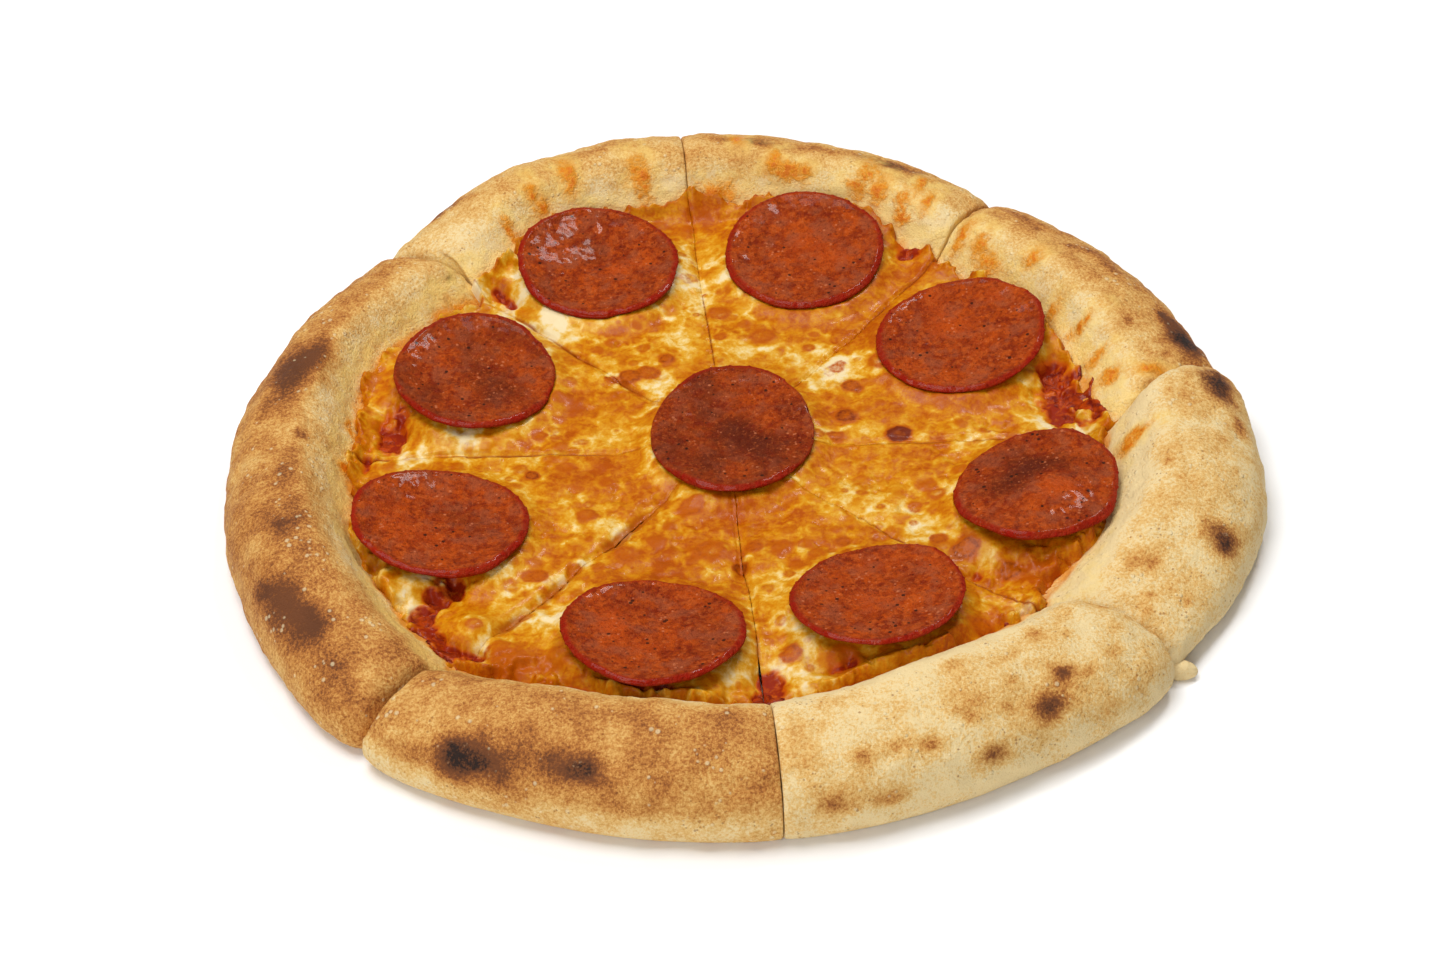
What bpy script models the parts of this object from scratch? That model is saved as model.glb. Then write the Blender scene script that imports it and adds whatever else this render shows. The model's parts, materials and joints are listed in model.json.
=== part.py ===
"""A pepperoni pizza cut into eight slices that still lie together.

Each slice is a dough wedge with a puffed rim, a skin of tomato sauce and a layer of melted
cheese. Nine pepperoni slices lie on the cheese. The rim was left uncut on the left, so two
wedges there are one piece of dough with a slit between them.
Sizes are in millimetres and angles in degrees, anticlockwise from +X, until a mesh is made.
"""

import math
from collections import namedtuple

import bmesh
import bpy
from mathutils import Matrix, Vector, noise
from mathutils.bvhtree import BVHTree

MM = 0.001

# The dough
FLOOR = 5.0  # thickness of the dough under the toppings
TIP_RADIUS = 3.0  # the blunt tip of a slice
CUT_WIDTH = 1.0  # the slot that the cutter leaves between two slices
BEND_START = 108.0  # radius at which a cut may leave its straight line
BEND_END = 142.0
CREST_SHARE = 0.36  # where the rim is highest, as a share of its width from the foot
FOOT_RUN = 8.0  # the slope of the rim begins this far inside its foot
EDGE_HEIGHT = 6.5  # height at which the rim reaches furthest out
UNDERCUT = 5.5  # how far the rim's bottom edge is rounded back
RIM_FULLNESS = 2.1  # exponent of the rim's outer curve; 2 is an ellipse
LUMP_HEIGHT = 1.3  # the uneven swellings of the rim
LUMP_SIZE = 24.0
LUMP_FADE = 0.15  # the swellings die out over this share of a slice's width beside each cut
END_INSET = 0.5  # where a rim rounds down beside a cut, its outer edge draws in by this share of it

# The layers on the dough
LAYER_GAP = 0.4
SAUCE_THICKNESS = 1.0
CHEESE_THICKNESS = 3.0
CHEESE_EDGE_THICKNESS = 1.2
CHEESE_EDGE_RUN = 14.0  # the cheese thins out over this distance
CHEESE_EDGE_WANDER = 3.2  # how far the edge of the cheese strays in and out
CHEESE_RELIEF = 0.7
CHEESE_RELIEF_SIZE = 9.0

# The pepperoni
PEPPERONI_THICKNESS = 2.6
PEPPERONI_SIDES = 26
PEPPERONI_RINGS = (0.36, 0.7, 0.94)
PEPPERONI_CLEARANCE = 0.3

# Shares of a slice's width at which its columns of points stand, closer together at the cuts
COLUMNS = (0, 0.025, 0.07, 0.14, 0.26, 0.38, 0.5, 0.62, 0.74, 0.86, 0.93, 0.975, 1)
# Rows of points, from the tip outwards: on the floor, near the foot of the rim measured from
# it, up its slope to the crest, and from the crest to the outer edge
FLOOR_ROWS = (TIP_RADIUS, 30.0, 56.0, 80.0)
CHEESE_EDGE_ROWS = (-11.0, -7.5, -4.0)
FOOT_ROWS = (-10.0, -6.5, -3.0, 0.0)
SLOPE_ROWS = (0.35, 0.68, 1.0)
OUTER_ROWS = (0.34, 0.62, 0.82, 0.94, 1.0)

# The cuts: a straight line from the middle, which may swing aside where it crosses the rim
Cut = namedtuple("Cut", "angle bend")
CUTS = (
    Cut(1.0, 7.5),
    Cut(52.5, 0.0),
    Cut(94.7, 0.0),
    Cut(134.0, 4.0),
    Cut(180.2, 0.0),
    Cut(230.0, -1.0),
    Cut(274.5, 0.0),
    Cut(318.8, 3.0),
)

# What a rim does where it meets a cut: how far it rounds down, and over what length
End = namedtuple("End", "drop reach")
CLEAN = End(0.8, 2.5)  # a straight cut through the rim
ROUND = End(7.0, 9.0)  # a rim that has closed up and puffed after the cut
PINCHED = End(4.0, 9.0)
UNCUT = End(0.0, 1.0)

# A slice, anticlockwise from its first cut: outer radius, radius of the rim's foot and height
# of the rim at its start, middle and end, and the shape of its two ends
Slice = namedtuple("Slice", "name outer foot height start end")
SLICES = (
    Slice("a", (151.5, 147.8, 144.5), (112.5, 112.0, 110.5), (19.0, 24.0, 21.5), ROUND, ROUND),
    Slice("b", (144.5, 148.5, 152.5), (110.5, 118.5, 119.0), (21.0, 24.0, 25.0), PINCHED, CLEAN),
    Slice("c", (152.5, 151.5, 143.5), (119.0, 121.0, 109.0), (25.5, 26.0, 19.0), CLEAN, PINCHED),
    Slice("d", (142.5, 143.0, 147.0), (109.0, 117.5, 113.5), (21.0, 22.0, 24.5), ROUND, UNCUT),
    Slice("e", (147.0, 151.5, 157.0), (113.5, 117.0, 120.5), (24.5, 27.0, 20.0), UNCUT, ROUND),
    Slice("f", (158.5, 155.5, 155.2), (120.5, 113.0, 113.0), (21.0, 27.0, 26.0), ROUND, CLEAN),
    Slice("g", (155.2, 155.0, 158.5), (113.0, 109.5, 113.5), (26.0, 27.0, 23.5), CLEAN, ROUND),
    Slice("h", (154.5, 159.3, 155.0), (113.5, 115.0, 113.5), (17.0, 26.0, 26.5), PINCHED, ROUND),
)
JOINED = ("d", "e")  # the cut between these two stops at the foot of the rim
SLIT_END = 112.0  # radius at which it ends

# A pepperoni slice: its middle, its two diameters, the turn of the longer one, how far its
# outer side tilts up, how deep it is cupped and how much it is folded like a saddle
Pepperoni = namedtuple("Pepperoni", "name x y length width turn tilt cup saddle")
PEPPERONI = (
    Pepperoni("a", 72.6, 44.0, 53.5, 51.5, 20, 8.0, 2.0, 0.8),
    Pepperoni("b", 26.2, 88.5, 53.0, 50.5, 80, 8.5, 1.2, 0.8),
    Pepperoni("c", -38.3, 86.0, 53.0, 50.5, 150, 6.0, 3.0, 1.6),
    Pepperoni("d", -75.3, 31.6, 54.0, 49.5, 90, 5.0, 2.2, 1.2),
    Pepperoni("e", -83.2, -36.0, 53.5, 50.0, 170, 7.0, 2.4, 1.0),
    Pepperoni("f", -22.2, -85.4, 52.8, 50.0, 170, 7.5, 1.6, 0.8),
    Pepperoni("g", 41.3, -73.3, 51.5, 49.0, 20, 8.5, 1.4, 0.8),
    Pepperoni("h", 88.9, -29.2, 52.0, 49.0, 60, 7.0, -1.8, 1.8),
    Pepperoni("centre", 1.9, 3.4, 57.5, 49.5, 90, 2.0, 1.4, 1.2),
)

# A drip of dough that has spread from under the rim of slice h at its first cut
DRIP_OWNER = "h"
DRIP_ANGLE = 323.0
DRIP_RADIUS = 154.0
DRIP_HEIGHT = 2.2
DRIP_SIZE = (5.6, 2.6, 2.5)
DRIP_TURN = 30.0  # its length turns this far from the outward direction

CRUST_COLOR = (0.72, 0.47, 0.22, 1)
SAUCE_COLOR = (0.45, 0.06, 0.015, 1)
CHEESE_COLOR = (0.82, 0.45, 0.11, 1)
PEPPERONI_COLOR = (0.36, 0.06, 0.025, 1)


def smooth_step(low, high, value):
    share = min(1.0, max(0.0, (value - low) / (high - low)))
    return share * share * (3 - 2 * share)


def blend(values, share):
    """A value that runs smoothly from the first of three values through the second to the last."""
    first, middle, last = values
    if share < 0.5:
        return first + (middle - first) * smooth_step(0, 0.5, share)
    return middle + (last - middle) * smooth_step(0.5, 1, share)


def cut_angle(number, radius):
    """Direction of a cut at this radius, in radians. The cut after the last is the first, a turn on."""
    cut = CUTS[number % len(CUTS)]
    turns = number // len(CUTS)
    bend = cut.bend * smooth_step(BEND_START, BEND_END, radius)
    return math.radians(cut.angle + bend + 360 * turns)


def place(number, share, radius, height=0.0):
    """The point at this share of a slice's width, with half a slot left free beside each cut."""
    half_slot = math.asin(CUT_WIDTH / 2 / radius)
    start = cut_angle(number, radius) + half_slot
    end = cut_angle(number + 1, radius) - half_slot
    angle = start + (end - start) * share
    return Vector((radius * math.cos(angle), radius * math.sin(angle), height))


def end_drop(number, share):
    """How far a rim is rounded down beside its two cuts, each time as a quarter of an ellipse."""
    piece = SLICES[number]
    middle = place(number, share, BEND_END)
    drop = 0.0
    for end, side in ((piece.start, 0), (piece.end, 1)):
        distance = (middle - place(number, side, BEND_END)).length
        if distance < end.reach:
            drop += end.drop * (1 - math.sqrt(1 - (1 - distance / end.reach) ** 2))
    return drop


def outer_radius(number, share):
    return blend(SLICES[number].outer, share) - END_INSET * end_drop(number, share)


def foot_radius(number, share):
    return blend(SLICES[number].foot, share)


def crest_radius(number, share):
    foot = foot_radius(number, share)
    return foot + (outer_radius(number, share) - foot) * CREST_SHARE


def crest_height(number, share):
    fade = smooth_step(0, LUMP_FADE, share) * smooth_step(0, LUMP_FADE, 1 - share)
    lump = LUMP_HEIGHT * noise.noise(place(number, share, BEND_END) / LUMP_SIZE) * fade
    return blend(SLICES[number].height, share) + lump - end_drop(number, share)


def dough_top(number, share, radius):
    """Height of the dough's upper surface: flat floor, slope up to the crest, then the outer curve."""
    crest = crest_radius(number, share)
    height = crest_height(number, share)
    if radius <= crest:
        slope = smooth_step(foot_radius(number, share) - FOOT_RUN, crest, radius)
        return FLOOR + (height - FLOOR) * slope
    out = min(1.0, (radius - crest) / (outer_radius(number, share) - crest))
    return EDGE_HEIGHT + (height - EDGE_HEIGHT) * (1 - out**RIM_FULLNESS) ** (1 / RIM_FULLNESS)


def dough_bottom(number, share, radius):
    beyond = (radius - outer_radius(number, share)) / UNDERCUT + 1
    return EDGE_HEIGHT * (1 - math.sqrt(1 - min(1.0, max(0.0, beyond)) ** 2))


def sauce_bottom(number, share, radius):
    return dough_top(number, share, radius) + LAYER_GAP


def sauce_top(number, share, radius):
    return sauce_bottom(number, share, radius) + SAUCE_THICKNESS


def cheese_bottom(number, share, radius):
    return sauce_top(number, share, radius) + LAYER_GAP


def cheese_top(number, share, radius):
    edge = cheese_rows(number, share)[-1]
    inside = smooth_step(0, CHEESE_EDGE_RUN, edge - radius)
    thickness = CHEESE_EDGE_THICKNESS + (CHEESE_THICKNESS - CHEESE_EDGE_THICKNESS) * inside
    relief = CHEESE_RELIEF * noise.noise(place(number, share, radius) / CHEESE_RELIEF_SIZE)
    return cheese_bottom(number, share, radius) + thickness + relief * inside


def dough_rows(number, share):
    foot = foot_radius(number, share)
    crest = crest_radius(number, share)
    outer = outer_radius(number, share)
    slope = [foot + (crest - foot) * part for part in SLOPE_ROWS]
    outside = [crest + (outer - crest) * part for part in OUTER_ROWS]
    return sauce_rows(number, share) + slope + outside


def sauce_rows(number, share):
    foot = foot_radius(number, share)
    return [*FLOOR_ROWS, *(foot + offset for offset in FOOT_ROWS)]


def cheese_rows(number, share):
    foot = foot_radius(number, share)
    stray = CHEESE_EDGE_WANDER * noise.noise(place(number, share, foot) / CHEESE_RELIEF_SIZE)
    return [*FLOOR_ROWS, *(foot + offset + stray for offset in CHEESE_EDGE_ROWS)]


def new_material(name, color, roughness):
    material = bpy.data.materials.new(name)
    material.use_nodes = True
    shader = material.node_tree.nodes["Principled BSDF"]
    shader.inputs["Base Color"].default_value = color
    shader.inputs["Roughness"].default_value = roughness
    shader.inputs["Metallic"].default_value = 0.0
    return material


def new_object(name, shape, material):
    """An object from a bmesh, which it uses up."""
    mesh = bpy.data.meshes.new(name)
    shape.to_mesh(mesh)
    shape.free()
    mesh.shade_smooth()
    mesh.set_sharp_from_angle(angle=math.radians(40))
    mesh.materials.append(material)
    obj = bpy.data.objects.new(name, mesh)
    bpy.context.scene.collection.objects.link(obj)
    return obj


def join_rows(shape, first, second):
    """Two triangles for each step along two rows of points, or one where they share a point."""
    for step in range(len(first) - 1):
        near, far = first[step], second[step]
        next_near, next_far = first[step + 1], second[step + 1]
        for corners in ((near, far, next_far), (near, next_far, next_near)):
            if len(set(corners)) == len(corners):
                shape.faces.new(corners)


def wedge(name, columns, rows, top, bottom, material):
    """A solid between two surfaces. Where they meet at the outer edge, they share their points.

    Each column is a slice's number and a share of its width. rows, top and bottom are
    functions that give the radii of its points and the height of each surface there.
    """
    shape = bmesh.new()
    upper, lower = [], []
    for number, share in columns:
        high_points, low_points = [], []
        for radius in rows(number, share):
            high = place(number, share, radius, top(number, share, radius))
            low = place(number, share, radius, bottom(number, share, radius))
            high_points.append(shape.verts.new(high * MM))
            closed = (high - low).length < LAYER_GAP / 2
            low_points.append(high_points[-1] if closed else shape.verts.new(low * MM))
        upper.append(high_points)
        lower.append(low_points)
    for surface in (upper, lower):
        for first, second in zip(surface, surface[1:]):
            join_rows(shape, first, second)
    join_rows(shape, upper[0], lower[0])
    join_rows(shape, upper[-1], lower[-1])
    for row in (0, -1):
        join_rows(shape, [points[row] for points in upper], [points[row] for points in lower])
    bmesh.ops.recalc_face_normals(shape, faces=shape.faces[:])
    return new_object(name, shape, material)


def add_boolean(obj, operation, tool):
    """Cuts or joins a tool shape with a live modifier, and keeps the tool out of the model."""
    tool.hide_render = True
    tool.display_type = "WIRE"
    modifier = obj.modifiers.new(operation.lower(), "BOOLEAN")
    modifier.operation = operation
    modifier.solver = "EXACT"
    modifier.object = tool


def make_slit(dough, number, material):
    """Cuts the floor of a dough piece along a cut that stops at the rim."""
    angle = cut_angle(number, TIP_RADIUS)
    along = Vector((math.cos(angle), math.sin(angle), 0))
    stretch = Matrix.Diagonal((SLIT_END, CUT_WIDTH, 8 * FLOOR, 1))
    shape = bmesh.new()
    bmesh.ops.create_cube(shape, size=1)
    shape.transform(Matrix.Translation(along * SLIT_END / 2) @ Matrix.Rotation(angle, 4, "Z") @ stretch)
    shape.transform(Matrix.Scale(MM, 4))
    add_boolean(dough, "DIFFERENCE", new_object("slit", shape, material))


def add_drip(dough, material):
    """Joins a small flat-bottomed drip of dough to the bottom edge of the rim."""
    angle = math.radians(DRIP_ANGLE)
    middle = Vector((DRIP_RADIUS * math.cos(angle), DRIP_RADIUS * math.sin(angle), DRIP_HEIGHT))
    turn = Matrix.Rotation(angle + math.radians(DRIP_TURN), 4, "Z")
    shape = bmesh.new()
    bmesh.ops.create_uvsphere(shape, u_segments=12, v_segments=8, radius=1)
    shape.transform(Matrix.Translation(middle) @ turn @ Matrix.Diagonal((*DRIP_SIZE, 1)))
    shape.transform(Matrix.Scale(MM, 4))
    for vertex in shape.verts:
        vertex.co.z = max(vertex.co.z, 0.0)
    add_boolean(dough, "UNION", new_object("drip", shape, material))


def add_dough(material):
    pieces = []
    for number, piece in enumerate(SLICES):
        if piece.name == JOINED[1]:
            continue
        name = "crust_" + piece.name
        columns = [(number, share) for share in COLUMNS]
        if piece.name == JOINED[0]:
            name = "crust_" + "".join(JOINED)
            columns[-1:] = [(number + 1, share) for share in COLUMNS[1:]]
        dough = wedge(name, columns, dough_rows, dough_top, dough_bottom, material)
        if piece.name == JOINED[0]:
            make_slit(dough, number + 1, material)
        if piece.name == DRIP_OWNER:
            add_drip(dough, material)
        pieces.append(dough)
    return pieces


def add_layers(sauce, cheese):
    layers = []
    for number, piece in enumerate(SLICES):
        columns = [(number, share) for share in COLUMNS]
        layers.append(wedge("sauce_" + piece.name, columns, sauce_rows, sauce_top, sauce_bottom, sauce))
        layers.append(wedge("cheese_" + piece.name, columns, cheese_rows, cheese_top, cheese_bottom, cheese))
    return layers


def pepperoni_ring(shape, spec, share, base):
    """A ring of points at this share of the way from the middle of a pepperoni slice to its edge."""
    long_turn = math.radians(spec.turn)
    points = []
    for step in range(PEPPERONI_SIDES):
        turn = 2 * math.pi * step / PEPPERONI_SIDES
        bend = spec.cup + spec.saddle * math.cos(2 * turn)
        point = Vector((spec.length / 2 * math.cos(turn), spec.width / 2 * math.sin(turn), 0)) * share
        point.z = base + bend * share**2
        points.append(shape.verts.new(Matrix.Rotation(long_turn, 3, "Z") @ point))
    return points


def add_pepperoni(spec, material):
    """A cupped disc with a rounded edge, tilted so that its side towards the rim is higher."""
    shape = bmesh.new()
    edge = pepperoni_ring(shape, spec, 1.0, PEPPERONI_THICKNESS / 2)
    for base in (0.0, PEPPERONI_THICKNESS):
        rings = [pepperoni_ring(shape, spec, share, base) for share in PEPPERONI_RINGS]
        middle = shape.verts.new(Vector((0, 0, base)))
        rings = [[middle] * PEPPERONI_SIDES, *rings, edge]
        for inner, outer in zip(rings, rings[1:]):
            join_rows(shape, [*inner, inner[0]], [*outer, outer[0]])
    bmesh.ops.recalc_face_normals(shape, faces=shape.faces[:])
    outward = math.atan2(spec.y, spec.x)
    hinge = Vector((-math.sin(outward), math.cos(outward), 0))
    tilt = Matrix.Rotation(math.radians(-spec.tilt), 4, hinge)
    shape.transform(Matrix.Scale(MM, 4) @ Matrix.Translation(Vector((spec.x, spec.y, 0))) @ tilt)
    return new_object("pepperoni_" + spec.name, shape, material)


def surface_of(objects):
    """The points of some objects, and a search tree of their faces."""
    points, faces = [], []
    graph = bpy.context.evaluated_depsgraph_get()
    for obj in objects:
        solid = obj.evaluated_get(graph)
        mesh = solid.to_mesh()
        start = len(points)
        points += [vertex.co.copy() for vertex in mesh.vertices]
        faces += [[start + number for number in polygon.vertices] for polygon in mesh.polygons]
        solid.to_mesh_clear()
    return points, BVHTree.FromPolygons(points, faces)


def lower_onto(topping, under):
    """Lowers or lifts a topping until it just clears what lies under it."""
    down = Vector((0, 0, -1))
    under_points, under_tree = under
    points, tree = surface_of([topping])
    hits_below = [(point.z, under_tree.ray_cast(point - down, down)[0]) for point in points]
    hits_above = [(point.z, tree.ray_cast(point + down, -down)[0]) for point in under_points]
    clearances = [height - hit.z for height, hit in hits_below if hit]
    clearances += [hit.z - height for height, hit in hits_above if hit]
    topping.data.transform(Matrix.Translation(down * (min(clearances) - PEPPERONI_CLEARANCE * MM)))


def centre_on_base(objects):
    """Moves the whole so that it stands on Z = 0 with the middle of its outline at the origin."""
    points = surface_of(objects)[0]
    low = Vector(map(min, zip(*points)))
    high = Vector(map(max, zip(*points)))
    shift = Matrix.Translation((-(low.x + high.x) / 2, -(low.y + high.y) / 2, -low.z))
    for obj in bpy.data.objects:
        obj.data.transform(shift)


def build():
    for obj in list(bpy.data.objects):
        bpy.data.objects.remove(obj)
    crust = new_material("crust", CRUST_COLOR, 0.8)
    sauce = new_material("sauce", SAUCE_COLOR, 0.35)
    cheese = new_material("cheese", CHEESE_COLOR, 0.35)
    pepperoni = new_material("pepperoni", PEPPERONI_COLOR, 0.3)

    base = add_dough(crust) + add_layers(sauce, cheese)
    toppings = [add_pepperoni(spec, pepperoni) for spec in PEPPERONI]
    bpy.context.view_layer.update()
    under = surface_of(base)
    for topping in toppings:
        lower_onto(topping, under)
    centre_on_base(base + toppings)


build()
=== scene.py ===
import json
import math

import bpy
import numpy as np
from mathutils import Matrix, Vector
from mathutils.bvhtree import BVHTree

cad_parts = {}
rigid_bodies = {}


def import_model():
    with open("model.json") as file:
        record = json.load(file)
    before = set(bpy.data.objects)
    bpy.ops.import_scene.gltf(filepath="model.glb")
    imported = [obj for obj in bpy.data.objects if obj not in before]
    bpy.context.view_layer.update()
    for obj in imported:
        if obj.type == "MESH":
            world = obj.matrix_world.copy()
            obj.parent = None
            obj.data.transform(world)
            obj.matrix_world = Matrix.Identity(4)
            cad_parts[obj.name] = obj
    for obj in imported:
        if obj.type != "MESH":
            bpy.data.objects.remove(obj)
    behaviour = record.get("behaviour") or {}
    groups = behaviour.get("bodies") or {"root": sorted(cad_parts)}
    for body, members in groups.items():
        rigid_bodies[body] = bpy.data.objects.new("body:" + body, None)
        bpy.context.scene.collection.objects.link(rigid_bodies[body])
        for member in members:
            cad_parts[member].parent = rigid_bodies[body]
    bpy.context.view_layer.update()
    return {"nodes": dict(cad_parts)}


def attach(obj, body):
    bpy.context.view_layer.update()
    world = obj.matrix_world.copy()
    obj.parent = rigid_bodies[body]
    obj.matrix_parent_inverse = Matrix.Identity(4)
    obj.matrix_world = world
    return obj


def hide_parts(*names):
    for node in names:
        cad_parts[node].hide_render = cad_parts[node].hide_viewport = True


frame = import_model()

# Heights and distances are in millimetres in the number work, and metres in the meshes.
# Angles are in degrees, anticlockwise from +X, round the point where the cuts meet.
mm = 0.001
cutCentre = np.array((-4.985, 1.478))
sliceCuts = {"a": (1.0, 52.5), "b": (52.5, 94.7), "c": (94.7, 134.0), "d": (134.0, 180.2),
             "e": (180.2, 230.0), "f": (230.0, 274.5), "g": (274.5, 318.8), "h": (318.8, 361.0)}


# Small tools for number fields

def smoothStep(low, high, value):
    share = np.clip((value - low) / (high - low), 0, 1)
    return share * share * (3 - 2 * share)


def softNoise(points, size, seed):
    # smooth random numbers from a lattice, about -1 to 1
    table = np.random.default_rng(seed).uniform(-1, 1, 8192)
    cells = np.asarray(points, float) / size + 517.3
    base = np.floor(cells).astype(np.int64)
    part = cells - base
    ease = part ** 3 * (part * (part * 6 - 15) + 10)
    total = np.zeros(len(cells))
    for corner in np.ndindex(*(2,) * cells.shape[1]):
        spot = base + np.array(corner)
        key = (spot * np.array((73856093, 19349663, 83492791))[:cells.shape[1]])
        index = np.bitwise_xor.reduce(key, axis=1) % 8192
        weight = np.where(np.array(corner), ease, 1 - ease).prod(axis=1)
        total += weight * table[index]
    return total


def layeredNoise(points, size, seed, layers=3):
    total = 0
    for layer in range(layers):
        total = total + softNoise(points, size / 2 ** layer, seed + layer) / 2 ** layer
    return total


def polarOf(x, y):
    # radius and angle round the point where the cuts meet
    dx = x - cutCentre[0]
    dy = y - cutCentre[1]
    return np.hypot(dx, dy), np.degrees(np.arctan2(dy, dx)) % 360


def pointAt(angle, radius):
    turn = math.radians(angle)
    return cutCentre + radius * np.array((math.cos(turn), math.sin(turn)))


def cutDistance(points, angle):
    turn = math.radians(angle)
    side = (points[:, 1] - cutCentre[1]) * math.cos(turn) - (points[:, 0] - cutCentre[0]) * math.sin(turn)
    ahead = (points[:, 0] - cutCentre[0]) * math.cos(turn) + (points[:, 1] - cutCentre[1]) * math.sin(turn)
    return side, ahead


# Small tools for meshes

def deselectAll():
    for obj in bpy.context.view_layer.objects:
        obj.select_set(False)


def makeActive(piece):
    deselectAll()
    piece.select_set(True)
    bpy.context.view_layer.objects.active = piece


def copyNode(nodeName, pieceName):
    # a copy of a CAD node with its loose triangles merged, made of quads where it can be
    piece = bpy.data.objects.new(pieceName, frame["nodes"][nodeName].data.copy())
    bpy.context.scene.collection.objects.link(piece)
    makeActive(piece)
    bpy.ops.object.mode_set(mode="EDIT")
    bpy.ops.mesh.select_all(action="SELECT")
    bpy.ops.mesh.remove_doubles(threshold=0.00002)
    bpy.ops.mesh.tris_convert_to_quads(face_threshold=math.radians(60), shape_threshold=math.radians(80))
    bpy.ops.object.mode_set(mode="OBJECT")
    bpy.ops.mesh.customdata_custom_splitnormals_clear()
    return piece


def subdivide(piece, levels):
    makeActive(piece)
    modifier = piece.modifiers.new("smooth", "SUBSURF")
    modifier.levels = levels
    modifier.render_levels = levels
    bpy.ops.object.modifier_apply(modifier="smooth")


def readPoints(piece):
    points = np.zeros(len(piece.data.vertices) * 3)
    piece.data.vertices.foreach_get("co", points)
    return points.reshape(-1, 3) / mm


def readNormals(piece):
    normals = np.zeros(len(piece.data.vertices) * 3)
    piece.data.vertices.foreach_get("normal", normals)
    return normals.reshape(-1, 3)


def writePoints(piece, points):
    piece.data.vertices.foreach_set("co", (points * mm).ravel())
    piece.data.update()


def writeTone(piece, name, values):
    tone = piece.data.attributes.new(name, "FLOAT", "POINT")
    tone.data.foreach_set("value", np.asarray(values, np.float32))


def dressPiece(piece, nodeName, material):
    piece.data.materials.clear()
    piece.data.materials.append(material)
    makeActive(piece)
    bpy.ops.object.shade_smooth()
    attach(piece, "root")
    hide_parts(nodeName)


def treeOf(pieces):
    points, faces = [], []
    for piece in pieces:
        start = len(points)
        points += [vertex.co / mm for vertex in piece.data.vertices]
        faces += [[start + number for number in face.vertices] for face in piece.data.polygons]
    return BVHTree.FromPolygons(points, faces)


# Small tools for materials

def colour(red, green, blue):
    # from the 0-255 numbers of a picture
    return tuple((part / 255 / 12.92 if part < 10.3 else ((part / 255 + 0.055) / 1.055) ** 2.4)
                 for part in (red, green, blue)) + (1,)


def startMaterial(name):
    material = bpy.data.materials.new(name)
    material.use_nodes = True
    tree = material.node_tree
    return material, tree, tree.nodes["Principled BSDF"]


def plug(tree, socket, value):
    if isinstance(value, bpy.types.NodeSocket):
        tree.links.new(value, socket)
    else:
        socket.default_value = value


def addNode(tree, kind, inputs, **settings):
    node = tree.nodes.new("ShaderNode" + kind)
    for name, value in settings.items():
        setattr(node, name, value)
    for name, value in inputs.items():
        plug(tree, node.inputs[name], value)
    return node


def calculate(tree, operation, first, second=0.0):
    return addNode(tree, "Math", {0: first, 1: second}, operation=operation).outputs[0]


def ramp(tree, value, low, high, toLow=0.0, toHigh=1.0):
    inputs = {"Value": value, "From Min": low, "From Max": high, "To Min": toLow, "To Max": toHigh}
    return addNode(tree, "MapRange", inputs, interpolation_type="SMOOTHSTEP").outputs[0]


def mixColour(tree, share, first, second, blendType="MIX"):
    node = addNode(tree, "Mix", {0: share, 6: first, 7: second}, data_type="RGBA", blend_type=blendType)
    return node.outputs[2]


def grain(tree, coords, size, detail=3.0, rough=0.55, warp=0.0):
    # noise whose lumps are about this many millimetres across
    inputs = {"Vector": coords, "Scale": 1000 / size, "Detail": detail,
              "Roughness": rough, "Distortion": warp}
    return addNode(tree, "TexNoise", inputs).outputs[0]


def dots(tree, coords, size, randomness=1.0):
    inputs = {"Vector": coords, "Scale": 1000 / size, "Randomness": randomness}
    return addNode(tree, "TexVoronoi", inputs)


def speckles(tree, coords, spacing, patch, low, high, radius, edge):
    # round flecks this far apart, which gather and grow in patches of this size
    distance = dots(tree, coords, spacing).outputs["Distance"]
    size = ramp(tree, grain(tree, coords, patch, 2), low, high, 0.0, radius)
    return ramp(tree, calculate(tree, "SUBTRACT", size, distance), 0.0, edge)


def paint(tree, base, share, red, green, blue):
    return mixColour(tree, share, base, colour(red, green, blue))


def colourRamp(tree, tone, stops):
    shades = addNode(tree, "ValToRGB", {0: tone})
    elements = shades.color_ramp.elements
    for number, (place, shade) in enumerate(stops):
        stop = elements[number] if number < 2 else elements.new(place)
        stop.position = place
        stop.color = colour(*shade)
    return shades.outputs[0]


def toneOf(tree, name):
    return addNode(tree, "Attribute", {}, attribute_name=name).outputs["Fac"]


def bumpOf(tree, height, depth, strength=1.0, under=None):
    inputs = {"Height": height, "Distance": depth * mm, "Strength": strength}
    if under:
        inputs["Normal"] = under
    return addNode(tree, "Bump", inputs).outputs[0]


# Camera, light and floor

cameraPlace = {"target": (-0.007197, -0.001979, 0.0), "distance": 1.06665, "elevation": 40.419,
               "roll": -1.609, "lens": 90, "sensor": 36}


def addCamera():
    up = math.radians(cameraPlace["elevation"])
    roll = math.radians(cameraPlace["roll"])
    back = Vector((0, -math.cos(up), math.sin(up)))
    right = Vector((1, 0, 0))
    over = Vector((0, math.sin(up), math.cos(up)))
    axes = (right * math.cos(roll) + over * math.sin(roll),
            over * math.cos(roll) - right * math.sin(roll), back)
    spot = Vector(cameraPlace["target"]) + back * cameraPlace["distance"]
    data = bpy.data.cameras.new("camera")
    data.lens = cameraPlace["lens"]
    data.sensor_width = cameraPlace["sensor"]
    data.clip_start = 0.05
    camera = bpy.data.objects.new("camera", data)
    bpy.context.scene.collection.objects.link(camera)
    camera.matrix_world = Matrix.Translation(spot) @ Matrix(axes).transposed().to_4x4()
    bpy.context.scene.camera = camera


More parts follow.
